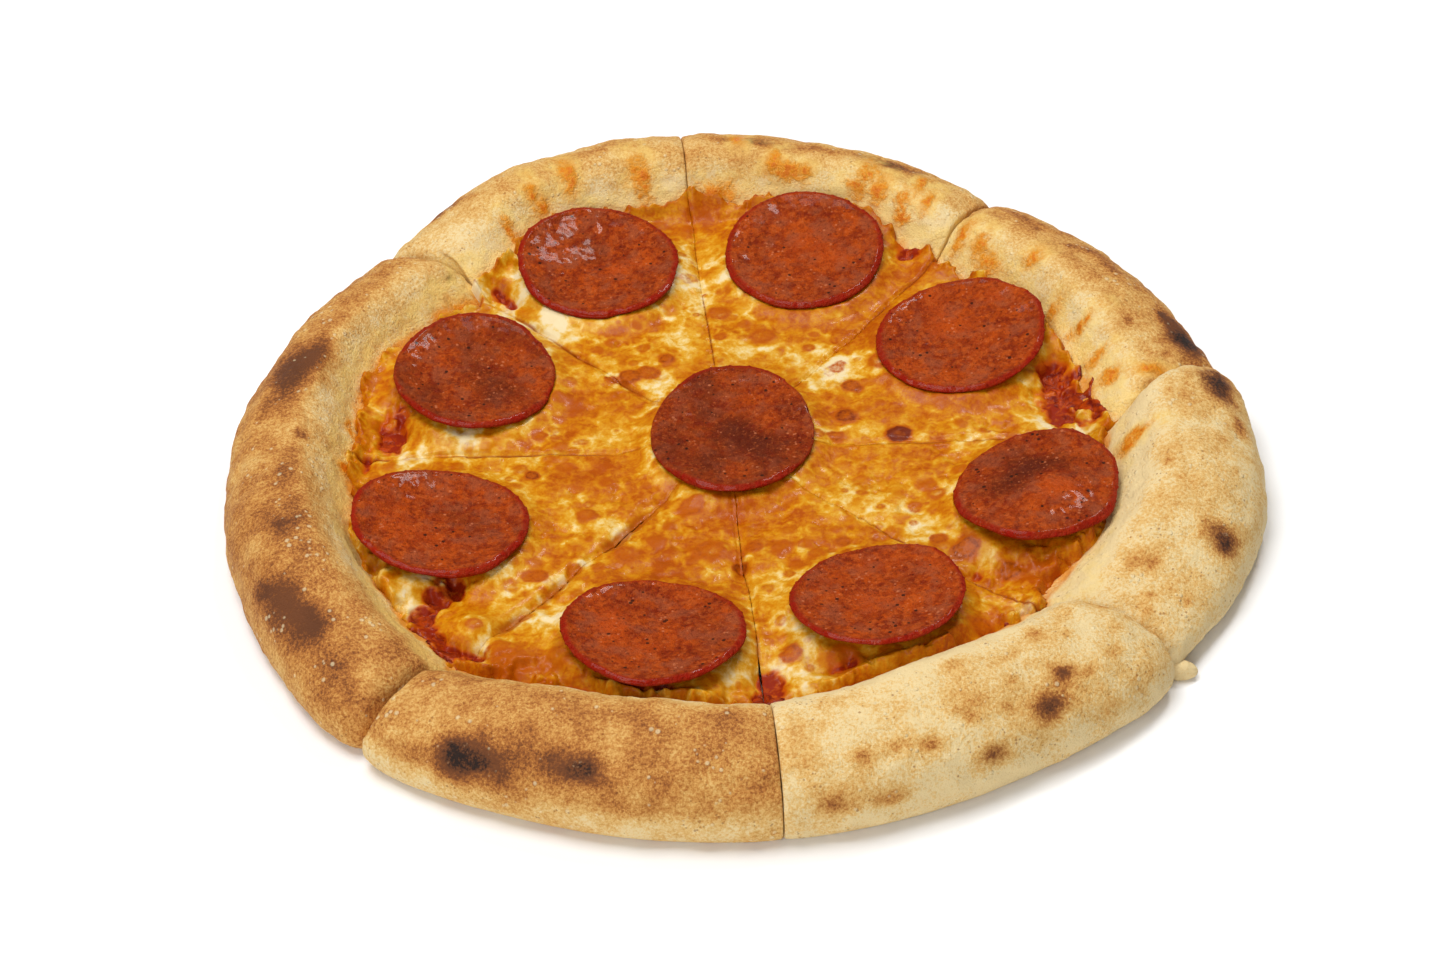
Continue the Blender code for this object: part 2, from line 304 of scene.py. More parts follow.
lightPlace = {
    "overhead": {"place": (-0.4, 0.1, 1.5), "size": 0.9, "power": 18.0},
    "front": {"place": (-0.45, -1.25, 0.75), "size": 1.0, "power": 9.5},
    "glint": {"place": (0.42, 0.7, 1.25), "size": 0.28, "power": 7.0},
}


def addLights():
    for name, spec in lightPlace.items():
        data = bpy.data.lights.new(name, "AREA")
        data.size = spec["size"]
        data.energy = spec["power"]
        light = bpy.data.objects.new(name, data)
        light.location = spec["place"]
        light.rotation_euler = (-Vector(spec["place"])).to_track_quat("-Z", "Y").to_euler()
        bpy.context.scene.collection.objects.link(light)
    world = bpy.data.worlds.new("room")
    world.use_nodes = True
    world.node_tree.nodes["Background"].inputs["Color"].default_value = (1, 1, 1, 1)
    world.node_tree.nodes["Background"].inputs["Strength"].default_value = 0.13
    bpy.context.scene.world = world
    bpy.context.scene.view_settings.view_transform = "Standard"


def addFloor():
    deselectAll()
    bpy.ops.mesh.primitive_plane_add(size=6, location=(0, 0, 0))
    floor = bpy.context.active_object
    floor.name = "floor"
    material, _, shader = startMaterial("paleFloor")
    shader.inputs["Base Color"].default_value = (0.98, 0.98, 0.98, 1)
    shader.inputs["Roughness"].default_value = 0.9
    floor.data.materials.append(material)


addCamera()
addLights()
addFloor()
print("camera, light and floor are in place")


# Marks in the photo, given by their pixels

photoSize = (1440, 960)
solidTree = treeOf(frame["nodes"].values())


def fromPhoto(marks, whole=True):
    # each mark's pixel becomes the angle and radius of the place on the solids that the camera sees there,
    # in tenths, or in whole numbers rounded from them
    view = bpy.context.scene.camera.matrix_world
    focus = photoSize[0] * cameraPlace["lens"] / cameraPlace["sensor"]
    placed = []
    for column, row, *rest in marks:
        ray = view.to_3x3() @ Vector((column - photoSize[0] / 2, photoSize[1] / 2 - row, -focus))
        hit = solidTree.ray_cast(view.translation / mm, ray.normalized())[0]
        radius, angle = polarOf(hit.x, hit.y)
        angle, radius = round(float(angle), 1), round(float(radius), 1)
        if whole:
            angle, radius = round(angle), round(radius)
        placed.append((angle, radius, *rest))
    return placed


# Crust

crustLook = {
    "levels": 3,
    "push": 0.5,                    # makes up for what the smoothing takes away
    "cuts": (1.0, 52.5, 94.7, 134.0, 230.0, 274.5, 318.8), "slit": 0.08,
    "crease": 0.8,
    "lumps": ((16.0, 0.6), (6.0, 0.34), (3.2, 0.26), (1.7, 0.16)),   # size and height
    "glaze": {"a": 0.8, "b": 1.0, "c": 1.0, "de": 0.8, "f": 0.7, "g": 0.5, "h": 0.5},
    "basePaleness": {"a": 0.36, "b": 0.34, "c": 0.28, "de": 0.51, "f": 0.48, "g": 0.13, "h": 0.13},
    "paleSide": {"a": 0.2, "b": 0.2, "c": 0.2, "de": 0.08, "f": 0.34, "g": 0.15, "h": 0.2},
    "lipShade": 0.34, "streakGlaze": 1.1, "streakStain": 0.75,
    "freckles": 90, "freckleRadius": (0.8, 2.2), "freckleTone": (0.12, 0.4),
    "freckleAngles": (276, 402), "freckleReach": (128, 151),
}

# Browned places of the rim: pixel, length along the rim, width across it, tone, burn
brownedPixels = (
    (310, 360, 17, 9, 0.5, 0.45), (301, 434, 6, 4.5, 0.5, 0.5), (285, 525, 20, 12, 0.42, 0.2),
    (265, 600, 15, 8, 0.32, 0.15), (290, 608, 22, 10, 0.5, 0.5), (315, 620, 16, 9, 0.4, 0.15),
    (350, 700, 15, 8, 0.3, 0.1), (465, 760, 18, 8.5, 0.5, 1.25), (575, 773, 14, 7.5, 0.5, 1),
    (520, 700, 34, 12, 0.12, 0), (1062, 672, 8, 5.5, 0.6, 0.6), (1052, 708, 9, 6.5, 0.7, 0.75),
    (992, 755, 9, 7, 0.55, 0.5), (930, 745, 6, 4.5, 0.5, 0.15), (900, 745, 7, 5.5, 0.42, 0.1),
    (866, 760, 5.5, 5, 0.55, 0.25), (835, 805, 10, 6.5, 0.5, 0.3), (892, 803, 8, 4.5, 0.42, 0.1),
    (975, 700, 7, 3.5, 0.4, 0.1), (1224, 541, 10, 11, 0.7, 0.85), (1242, 432, 6.5, 4.5, 0.6, 0.3),
    (1190, 470, 16, 11, 0.08, 0), (1218, 383, 17, 11, 0.75, 1), (1185, 343, 16, 12, 0.8, 1.15),
    (890, 165, 26, 6.5, 0.55, 0.15), (445, 212, 13, 6, 0.55, 0.45), (450, 278, 4.5, 4, 0.2, 0.75),
    (447, 302, 2.6, 2.6, 0.4, 0.7),
)

# More of them, most wide and faint: angle, radius, length, width, tone, burn
brownedWide = (
    (171, 131, 28, 14, 0.4, 0), (187, 127, 16, 9, 0.26, 0), (221, 148, 22, 9, 0.22, 0),
    (242.5, 151, 30, 15, 0.2, 0.2), (252.5, 148, 24, 13, 0.18, 0.15), (234, 132, 22, 11, 0.1, 0),
    (258, 133, 28, 10, 0.1, 0), (267, 133, 22, 9, 0.08, 0), (306, 147, 15, 11, 0.3, 0),
    (17.5, 143.1, 13, 6, 0.6, 0.4), (30, 137, 26, 6, 0.3, 0), (45, 134, 24, 5, 0.28, 0),
    (77, 134, 24, 5, 0.4, 0), (86, 136, 18, 5, 0.42, 0), (107, 136.5, 18, 5, 0.35, 0.2),
    (118, 134, 26, 8, 0.22, 0), (150, 128, 26, 9, 0.14, 0),
)

browned = fromPhoto(brownedPixels, whole=False) + list(brownedWide)

# Baked-on streaks of cheese on the slope of the rim: pixel, length outwards, width
streakPixels = (
    (567, 175, 13, 4.5), (535, 195, 12, 4), (545, 210, 8, 4), (640, 180, 15, 6), (510, 230, 10, 4.5),
    (740, 140, 7, 4), (774, 163, 9, 5), (786, 176, 6, 8), (803, 176, 5, 5), (719, 193, 6, 12),
    (866, 174, 12, 6), (856, 189, 7, 9), (878, 191, 9, 7), (922, 185, 11, 4), (928, 202, 12, 3.5),
    (901, 202, 10, 3.5), (903, 216, 8, 6), (964, 235, 10, 5), (981, 246, 9, 4), (985, 265, 6, 8),
    (1035, 258, 7, 5), (1052, 313, 8, 5), (1081, 325, 11, 4.5), (1096, 358, 9, 4), (1110, 375, 8, 5),
    (1150, 370, 10, 3), (1135, 437, 12, 3.6), (1125, 450, 8, 5), (460, 305, 5, 6), (493, 285, 7, 4),
    (350, 430, 6, 6), (345, 470, 9, 5),
)

# One more: angle, radius, length outwards, width
streakExtra = (
    (177.6, 108, 7, 6),
)

streaks = fromPhoto(streakPixels, whole=False) + list(streakExtra)


def markField(points, spots):
    # how far each point is from each mark on the crust: 0 at its middle, 1 at its edge, squared
    for angle, radius, along, across, *rest in spots:
        turn = math.radians(angle)
        x, y = pointAt(angle, radius)
        gap = points - np.array((x, y, crustHeight(x, y)))
        tangent = gap @ np.array((-math.sin(turn), math.cos(turn), 0))
        other = np.sqrt(np.maximum((gap * gap).sum(axis=1) - tangent ** 2, 0))
        yield rest, (tangent / along * 2) ** 2 + (other / across * 2) ** 2


def creaseCuts(piece):
    # the edges of the cut faces stay crisp when the rest is smoothed
    makeActive(piece)
    bpy.ops.object.mode_set(mode="EDIT")
    bpy.ops.mesh.select_mode(type="EDGE")
    bpy.ops.mesh.select_all(action="DESELECT")
    bpy.ops.mesh.edges_select_sharp(sharpness=math.radians(45))
    bpy.ops.object.mode_set(mode="OBJECT")
    picked = np.zeros(len(piece.data.edges), bool)
    piece.data.edges.foreach_get("select", picked)
    ends = np.zeros(len(piece.data.edges) * 2, int)
    piece.data.edges.foreach_get("vertices", ends)
    points = readPoints(piece)
    near = np.zeros(len(points), bool)
    for cutAngle in crustLook["cuts"]:
        side, ahead = cutDistance(points, cutAngle)
        near |= (np.abs(side) < 1.2) & (ahead > 100)
    crisp = picked & near[ends.reshape(-1, 2)].all(axis=1)
    crease = piece.data.attributes.new("crease_edge", "FLOAT", "EDGE")
    crease.data.foreach_set("value", np.where(crisp, crustLook["crease"], 0))


def scatterFreckles():
    rng = np.random.default_rng(21)
    for _ in range(crustLook["freckles"]):
        size = 2 * rng.uniform(*crustLook["freckleRadius"])
        angle = rng.uniform(*crustLook["freckleAngles"]) % 360
        radius = rng.uniform(*crustLook["freckleReach"])
        length = size * rng.uniform(1, 1.6)
        yield angle, radius, length, size, rng.uniform(*crustLook["freckleTone"])


freckles = list(scatterFreckles())


def shapeCrust(letters):
    piece = copyNode("crust_" + letters, "crust" + letters.upper())
    creaseCuts(piece)
    subdivide(piece, crustLook["levels"])
    points = readPoints(piece)
    normals = readNormals(piece)
    radius = polarOf(points[:, 0], points[:, 1])[0]
    push = crustLook["push"] * smoothStep(98, 106, radius)
    fade = smoothStep(100, 112, radius) * smoothStep(1, 5, points[:, 2])
    for number, (size, height) in enumerate(crustLook["lumps"]):
        push += height * softNoise(points, size, 10 + number) * fade
    points += normals * push[:, None]
    for cutAngle in crustLook["cuts"]:
        # the two faces of a cut lie against each other
        side, ahead = cutDistance(points, cutAngle)
        turn = math.radians(cutAngle)
        facing = np.abs(normals[:, 1] * math.cos(turn) - normals[:, 0] * math.sin(turn))
        share = smoothStep(0.45, 0.85, facing) * (1 - smoothStep(1.2, 2.6, np.abs(side))) * (ahead > 98)
        own = 1 if sliceCuts[letters[0]][0] == cutAngle else -1
        goal = own * (crustLook["slit"] + 0.2 * np.abs(side - own * crustLook["slit"]))
        shift = (goal - side) * share
        points[:, 0] -= shift * math.sin(turn)
        points[:, 1] += shift * math.cos(turn)
    points[:, 2] = np.maximum(points[:, 2], 0)
    writePoints(piece, points)
    return piece


crusts = {letters: shapeCrust(letters) for letters in ("a", "b", "c", "de", "f", "g", "h")}
crustTree = treeOf(crusts.values())
print("crusts are shaped")


def crustHeight(x, y):
    hit = crustTree.ray_cast(Vector((x, y, 60)), Vector((0, 0, -1)))[0]
    return hit.z if hit else 0.0


def toneCrust(letters, piece):
    points = readPoints(piece)
    radius, angle = polarOf(points[:, 0], points[:, 1])
    wander = points + np.stack([softNoise(points, 7, 40 + axis) for axis in range(3)], axis=1) * 1.6
    bake = crustLook["basePaleness"][letters] + 0.10 * layeredNoise(points, 22, 50)
    burn = np.zeros(len(points))
    for (tone, char), gap in markField(wander, browned):
        bake += tone * np.exp(-gap * 0.9)
        burn = np.maximum(burn, char * np.exp(-gap * 1.1))
    if letters in "agh":
        for (tone,), gap in markField(wander, freckles):
            bake += tone * np.exp(-gap)
    side = smoothStep(146, 152, radius) * (1 - smoothStep(8, 14, points[:, 2]))
    lip = (1 - smoothStep(119, 130, radius)) * smoothStep(6, 9, points[:, 2])
    bake -= crustLook["paleSide"][letters] * side + crustLook["lipShade"] * lip
    level = points[:, 2] + 1.6 * layeredNoise(points, 9, 70)
    stain = (1 - smoothStep(8.5, 12, level)) * (1 - smoothStep(122, 126, radius))
    glaze = (1 - smoothStep(15, 21, level)) * (1 - smoothStep(124, 132, radius)) * crustLook["glaze"][letters]
    torn = points + np.stack([1.3 * softNoise(points, 5, 150 + axis) + 0.5 * softNoise(points, 2, 153 + axis)
                              for axis in range(3)], axis=1)
    streak = np.full(len(points), -1.0)
    marks = [(angle, radius, width, outward) for angle, radius, outward, width in streaks]
    for _, gap in markField(torn, marks):
        streak = np.maximum(streak, 1 - np.sqrt(gap))
        glaze = np.maximum(glaze, crustLook["streakGlaze"] * np.exp(-gap * 0.18))
        stain = np.maximum(stain, crustLook["streakStain"] * np.exp(-gap * 0.35))
    streak += 0.2 * softNoise(points, 3, 156)
    writeTone(piece, "bake", bake)
    writeTone(piece, "burn", burn)
    writeTone(piece, "stain", stain)
    writeTone(piece, "glaze", glaze)
    writeTone(piece, "streak", np.maximum(streak, -1))


def crustMaterial():
    material, tree, shader = startMaterial("bakedCrust")
    coords = addNode(tree, "TexCoord", {}).outputs["Object"]
    broad = grain(tree, coords, 10, 4, 0.6)
    sandy = grain(tree, coords, 0.9, 3, 0.7)
    fine = grain(tree, coords, 0.4, 2, 0.6)
    tone = toneOf(tree, "bake")
    tone = calculate(tree, "ADD", tone, ramp(tree, broad, 0.3, 0.7, -0.14, 0.14))
    tone = calculate(tree, "ADD", tone, ramp(tree, sandy, 0.3, 0.72, -0.16, 0.2))
    tone = calculate(tree, "ADD", tone, ramp(tree, fine, 0.3, 0.7, -0.06, 0.09))
    stops = ((0.0, (234, 208, 154)), (0.2, (226, 184, 112)), (0.42, (208, 152, 78)),
             (0.62, (182, 116, 52)), (0.8, (142, 82, 36)), (1.0, (98, 56, 30)))
    base = colourRamp(tree, tone, stops)
    # pale flecks of flour, tiny brown specks, and the burnt places with their broken edges
    flecks = speckles(tree, coords, 2.6, 8, 0.46, 0.66, 0.34, 0.14)
    base = paint(tree, base, calculate(tree, "MULTIPLY", flecks, 0.5), 242, 222, 176)
    specks = speckles(tree, coords, 1.7, 6, 0.38, 0.72, 0.3, 0.1)
    base = paint(tree, base, calculate(tree, "MULTIPLY", specks, 0.6), 148, 88, 40)
    ash = ramp(tree, sandy, 0.25, 0.75, 0.55, 1.35)
    ash = calculate(tree, "ADD", ash, ramp(tree, broad, 0.3, 0.7, -0.2, 0.2))
    broken = calculate(tree, "MULTIPLY", toneOf(tree, "burn"), ash)
    base = paint(tree, base, ramp(tree, broken, 0.05, 0.8), 122, 70, 36)
    base = paint(tree, base, ramp(tree, broken, 0.35, 1.15), 42, 28, 22)
    # cheese that has baked on, and grease at the foot of the slope
    blotchy = ramp(tree, grain(tree, coords, 4, 3), 0.3, 0.7, 0.5, 1.3)
    film = calculate(tree, "MULTIPLY", toneOf(tree, "glaze"), blotchy)
    base = paint(tree, base, ramp(tree, film, 0.1, 0.9, 0, 0.6), 240, 204, 112)
    patchy = ramp(tree, broad, 0.3, 0.7, 0.6, 1.3)
    patchy = calculate(tree, "ADD", patchy, ramp(tree, sandy, 0.3, 0.7, -0.2, 0.2))
    stain = calculate(tree, "MULTIPLY", toneOf(tree, "stain"), patchy)
    base = paint(tree, base, ramp(tree, stain, 0.1, 1.0, 0, 0.8), 220, 134, 18)
    # strands of cheese, browned along their edges
    torn = ramp(tree, grain(tree, coords, 2.2, 4, 0.7), 0.3, 0.7, -0.5, 0.45)
    streak = calculate(tree, "ADD", toneOf(tree, "streak"), torn)
    strand = ramp(tree, streak, -0.35, 0.65)
    base = paint(tree, base, calculate(tree, "MULTIPLY", strand, 0.92), 230, 148, 22)
    base = paint(tree, base, ramp(tree, streak, 0.3, 0.95, 0, 0.75), 204, 98, 4)
    plug(tree, shader.inputs["Base Color"], base)
    greasy = ramp(tree, film, 0.3, 0.9, 0, 0.6)
    greasy = calculate(tree, "MAXIMUM", greasy, ramp(tree, stain, 0.4, 1.0, 0, 0.8))
    greasy = calculate(tree, "MAXIMUM", greasy, calculate(tree, "MULTIPLY", strand, 0.9))
    plug(tree, shader.inputs["Roughness"], ramp(tree, greasy, 0, 1, 0.75, 0.34))
    crumb = sandy
    for layer, share in ((fine, 0.5), (grain(tree, coords, 3, 3, 0.6), 1.2), (strand, 0.8), (flecks, 0.6)):
        crumb = calculate(tree, "ADD", crumb, calculate(tree, "MULTIPLY", layer, share))
    plug(tree, shader.inputs["Normal"], bumpOf(tree, crumb, 0.55, 0.8))
    shader.inputs["Specular IOR Level"].default_value = 0.22
    return material


crustFinish = crustMaterial()
for letters, piece in crusts.items():
    toneCrust(letters, piece)
    dressPiece(piece, "crust_" + letters, crustFinish)
print("crusts are dressed")


# Pepperoni

pepperoniLook = {
    "levels": 3,
    "ripple": ((10.0, 0.4), (4.0, 0.18), (1.8, 0.11)),      # size and height
    "outline": 0.03, "outlineShare": 0.8685,                # points beyond this share are its outline
    "lip": 0.6, "bead": 0.3, "beadShare": 0.965, "beadWidth": 0.03,
    "skin": (0.935, 0.99),
}

# How dark each one is as a whole
pepperoniTone = {"a": -0.12, "b": 0.0, "c": 0.08, "d": 0.22, "e": 0.05, "f": 0.05, "g": 0.0, "h": 0.12,
                 "centre": 0.3}

# Dents and bulges: place from the middle, radius, height, and how dark it is there
# (below 0 is brighter and more orange)
pepperoniMarks = {
    "a": ((-4, 2, 7, 0.2, -0.3), (5, -5, 6, 0.0, -0.3), (-6, -8, 6, 0.0, 0.25)),
    "b": ((-3, 1, 8, -0.3, -0.2), (6, -3, 7, 0.3, -0.35), (-9, 8, 6, 0, 0.3)),
    "c": ((0, 3, 6, -0.9, 0.5), (4, -2, 6, 0.4, -0.6), (-9, 4, 6, 0.2, -0.1)),
    "d": ((-1, 0, 9, 0, 0.35), (-9, 5, 5, 0, -0.4), (9, -4, 6, 0.2, 0.2)),
    "e": ((-7, -2, 8, 0, -0.35), (6, 0, 8, 0, 0.3), (0, -9, 6, 0, -0.3)),
    "f": ((-10, 3, 6, 0.2, -0.5), (2, -3, 8, 0, -0.35), (9, 4, 7, 0, 0.2)),
    "g": ((-3, -2, 8, 0.3, -0.35), (10, 2, 7, 0, 0.3), (-11, -4, 4, 0.3, 0.1)),
    "h": ((-7, 0, 7, -0.5, 0.75), (0, 8, 7, -0.8, 0.8), (9, 5, 6, -0.5, 0.5), (4, -4, 9, 1.3, -0.75)),
    "centre": ((-1, -5, 12, -0.4, 0.45), (7, -3, 6, 0, 0.3), (-9, -6, 5, 0.2, -0.4)),
}


def polarRound(points, middle):
    # radius, and angle in radians, round this middle
    x, y = (points - middle)[:, :2].T
    return np.hypot(x, y), np.arctan2(y, x)


def shapePepperoni(letter):
    piece = copyNode("pepperoni_" + letter, "pepperoni" + letter.capitalize())
    edge = readPoints(piece)
    subdivide(piece, pepperoniLook["levels"])
    points = readPoints(piece)
    middle = (edge.min(axis=0) + edge.max(axis=0)) / 2
    edgeRadius, edgeAngle = polarRound(edge, middle)
    rim = edgeRadius > pepperoniLook["outlineShare"] * edgeRadius.max()
    order = np.argsort(edgeAngle[rim])
    radius, angle = polarRound(points, middle)
    reach = np.interp(angle, edgeAngle[rim][order], edgeRadius[rim][order], period=2 * math.pi)
    share = radius / reach
    push = np.zeros(len(points))
    for number, (size, height) in enumerate(pepperoniLook["ripple"]):
        push += height * softNoise(points, size, 80 + number)
    upper = readNormals(piece)[:, 2] > 0
    bead = np.exp(-((share - pepperoniLook["beadShare"]) / pepperoniLook["beadWidth"]) ** 2)
    push += pepperoniLook["bead"] * bead * upper
    points = points + readNormals(piece) * push[:, None]
    points[:, 2] += pepperoniLook["lip"] * smoothStep(0.7, 1.0, share)
    shade = pepperoniTone[letter] + 0.3 * softNoise(points, 9, 86)
    for px, py, size, height, dark in pepperoniMarks[letter]:
        gap = np.exp(-(np.hypot(points[:, 0] - middle[0] - px, points[:, 1] - middle[1] - py) / size) ** 2)
        points[:, 2] += height * gap
        shade += dark * gap
    ring = np.stack([np.cos(angle), np.sin(angle), np.full(len(angle), middle[0])], axis=1)
    swell = pepperoniLook["outline"] * share * softNoise(ring, 0.55, 84)
    points[:, :2] += (points - middle)[:, :2] * swell[:, None]
    writePoints(piece, points)
    writeTone(piece, "skin", smoothStep(*pepperoniLook["skin"], share))
    writeTone(piece, "shade", shade)
    return piece


def pepperoniMaterial():
    material, tree, shader = startMaterial("pepperoni")
    coords = addNode(tree, "TexCoord", {}).outputs["Object"]
    broad = grain(tree, coords, 8, 3, 0.6)
    meat = grain(tree, coords, 2.6, 3, 0.65)
    grit = grain(tree, coords, 1.1, 3, 0.7)
    lumps = dots(tree, coords, 1.6)
    tone = calculate(tree, "MULTIPLY", broad, 0.4)
    tone = calculate(tree, "ADD", tone, calculate(tree, "MULTIPLY", meat, 0.6))
    base = mixColour(tree, ramp(tree, tone, 0.38, 0.6), colour(130, 36, 2), colour(184, 72, 6))
    base = paint(tree, base, ramp(tree, lumps.outputs["Color"], 0.55, 0.85, 0, 0.35), 104, 26, 4)
    base = paint(tree, base, ramp(tree, lumps.outputs["Color"], 0.42, 0.15, 0, 0.35), 196, 94, 36)
    patch = ramp(tree, grain(tree, coords, 6, 3), 0.46, 0.66, 0, 0.75)
    base = paint(tree, base, patch, 154, 74, 42)
    shade = calculate(tree, "ADD", toneOf(tree, "shade"), ramp(tree, meat, 0.3, 0.7, -0.2, 0.2))
    base = paint(tree, base, ramp(tree, shade, 0.05, 0.95, 0, 0.85), 84, 26, 8)
    bright = calculate(tree, "MULTIPLY", shade, -1.0)
    base = paint(tree, base, ramp(tree, bright, 0.05, 0.7, 0, 0.8), 192, 74, 10)
    base = paint(tree, base, ramp(tree, grit, 0.52, 0.7, 0, 0.6), 84, 20, 4)
    base = paint(tree, base, ramp(tree, grit, 0.44, 0.32, 0, 0.4), 204, 104, 50)
    fat = speckles(tree, coords, 1.7, 4, 0.42, 0.7, 0.33, 0.1)
    base = paint(tree, base, calculate(tree, "MULTIPLY", fat, 0.5), 214, 126, 84)
    spice = speckles(tree, coords, 3.0, 5, 0.42, 0.62, 0.22, 0.06)
    base = paint(tree, base, calculate(tree, "MULTIPLY", spice, 0.85), 38, 16, 8)
    casing = calculate(tree, "MULTIPLY", toneOf(tree, "skin"), ramp(tree, meat, 0.3, 0.7, 0.6, 1.0))
    base = paint(tree, base, casing, 150, 18, 0)
    plug(tree, shader.inputs["Base Color"], base)
    plug(tree, shader.inputs["Roughness"], ramp(tree, meat, 0.3, 0.7, 0.36, 0.6))
    height = calculate(tree, "MULTIPLY", grit, 1.6)
    height = calculate(tree, "ADD", height, calculate(tree, "MULTIPLY", meat, 1.3))
    plug(tree, shader.inputs["Normal"], bumpOf(tree, height, 0.75, 0.9))
    shader.inputs["Specular IOR Level"].default_value = 0.08
    shader.inputs["Coat Weight"].default_value = 0.12
    shader.inputs["Coat Roughness"].default_value = 0.1
    return material


pepperoniFinish = pepperoniMaterial()
pepperoni = {}
for letter in ("a", "b", "c", "d", "e", "f", "g", "h", "centre"):
    pepperoni[letter] = shapePepperoni(letter)
    dressPiece(pepperoni[letter], "pepperoni_" + letter, pepperoniFinish)
print("pepperoni are shaped")


# Height and colour fields of the sauce and cheese, on one square grid

fieldLook = {
    "half": 141.0, "step": 0.5,
    "sauceDepth": 1.3, "sauceShore": 9.0,       # the height of crust that it reaches
    "cheeseDepth": 3.3, "cheeseShore": 9.8, "lowestShore": 8.2,
    "shreds": 3000, "shredLength": (5.0, 13.0), "shredWidth": (1.5, 3.2), "shredHeight": 0.24,
    "creamShare": {"a": 0.24, "b": 0.22, "c": 0.32, "d": 0.34, "e": 0.27, "f": 0.24, "g": 0.21, "h": 0.19},
    "shoreRise": {"a": 1.5, "b": 3.5, "c": 3.0, "d": 0.5, "e": 0.5, "f": -0.8, "g": -1.0, "h": 0.4},
    "looseSpots": 520, "spotRadius": (0.8, 2.8),
}

# Round browned spots on the cheese: pixel, its own radius, how dark
spotPixels = (
    (534, 474, 2.6, 1), (585, 515, 3.4, 0.7), (541, 435, 3.2, 0.7), (607, 481, 2.6, 0.7),
    (539, 576, 3.2, 0.8), (691, 508, 4.6, 0.75), (657, 542, 3.4, 0.7), (624, 554, 5, 0.7),
    (711, 549, 7, 0.7), (631, 375, 4, 0.9), (720, 312, 4.2, 0.7), (764, 336, 4.6, 0.7),
    (721, 336, 2.4, 0.7), (597, 350, 2.6, 0.6), (667, 359, 2.8, 0.9), (647, 374, 4, 0.8),
    (611, 377, 2.4, 0.9), (644, 350, 2.4, 0.6), (808, 346, 2.4, 0.7), (852, 385, 3.9, 0.9),
    (846, 415, 4.2, 1), (899, 432, 4.6, 1.3), (837, 435, 3.4, 0.8), (837, 366, 3, 0.6),
    (881, 365, 4, 0.7), (965, 550, 5, 0.9), (939, 538, 3, 0.8), (928, 486, 3.4, 0.6),
    (938, 492, 3.2, 0.6), (782, 545, 4, 0.7), (804, 542, 3, 0.6), (815, 551, 3, 0.6), (755, 545, 3, 0.8),
    (843, 539, 3, 0.8), (741, 564, 3, 1), (735, 552, 3.4, 0.7), (843, 665, 6, 0.6), (982, 627, 3.4, 0.8),
    (790, 654, 4, 0.8), (1010, 572, 4, 0.9), (476, 631, 3, 0.6), (520, 470, 3, 0.5), (560, 445, 2.6, 0.6),
    (583, 440, 2.2, 0.5), (515, 668, 7, 0.7), (500, 655, 5, 0.6), (560, 665, 5, 0.5),
    (1060, 405, 3.4, 0.8), (565, 467, 3.2, 0.6), (560, 400, 3.2, 0.6), (960, 470, 2.4, 0.6),
    (915, 505, 2.6, 0.6),
)

# More of them: angle, radius, its own radius, how dark
spotExtra = (
    (224, 79, 3.2, 0.7), (140, 41, 3, 0.5), (338, 42, 3, 0.5),
)

cheeseSpots = fromPhoto(spotPixels) + list(spotExtra)

# Paler places of the cheese (share above 0) and more orange ones (below 0): pixel, size, share
tintPixels = (
    (413, 464, 6, 0.5), (470, 445, 6, 0.4), (550, 500, 7, 0.4), (614, 433, 9, 0.5), (592, 375, 8, 0.4),
    (418, 602, 10, 0.7), (519, 612, 6, 0.5), (546, 624, 9, 0.8), (582, 561, 4, 0.9), (621, 532, 4, 0.9),
    (518, 306, 9, 0.8), (559, 327, 9, 0.5), (688, 289, 7, 0.6), (688, 347, 9, 0.5), (664, 385, 7, 0.5),
    (746, 356, 9, 0.6), (793, 353, 7, 0.6), (729, 277, 7, 0.5), (823, 371, 8, 0.6), (846, 359, 7, 0.5),
    (867, 429, 4, 0.8), (820, 435, 5, 0.6), (911, 412, 6, 0.5), (896, 262, 6, 0.6), (875, 503, 9, 0.7),
    (832, 498, 8, 0.6), (977, 443, 8, 0.6), (974, 418, 7, 0.5), (1043, 427, 6, 0.8), (1084, 432, 5, 0.8),
    (914, 534, 9, 0.8), (985, 561, 5, 0.9), (960, 616, 6, 0.9), (1029, 616, 5, 0.9), (771, 599, 8, 0.7),
    (741, 671, 6, 0.8), (810, 687, 5, 0.7), (640, 590, 6, 0.3), (500, 320, 7, 0.7), (930, 560, 7, 0.8),
    (1010, 600, 6, 0.6), (880, 460, 9, 0.4), (500, 600, 6, 0.4), (476, 631, 6, 0.6), (585, 486, 13, -0.4),
    (655, 573, 12, -0.5), (558, 549, 12, -0.4), (582, 408, 12, -0.3), (617, 336, 12, -0.3),
    (749, 327, 7, -0.3), (567, 412, 10, -0.3), (823, 412, 7, -0.4), (925, 397, 12, -0.3),
    (793, 318, 7, -0.3), (782, 517, 14, -0.4), (936, 490, 7, -0.3), (1048, 577, 9, -0.5),
    (716, 619, 9, -0.3), (700, 540, 14, -0.4), (745, 530, 10, -0.4), (640, 500, 12, -0.3),
    (960, 405, 10, -0.3), (800, 560, 10, -0.2), (515, 668, 12, -0.4),
)

# More of them: angle, radius, size, share
tintExtra = (
    (234, 50, 6, -0.5), (236, 66, 5, -0.4), (228, 75, 4, 0.6),
)

cheeseTints = fromPhoto(tintPixels) + list(tintExtra)

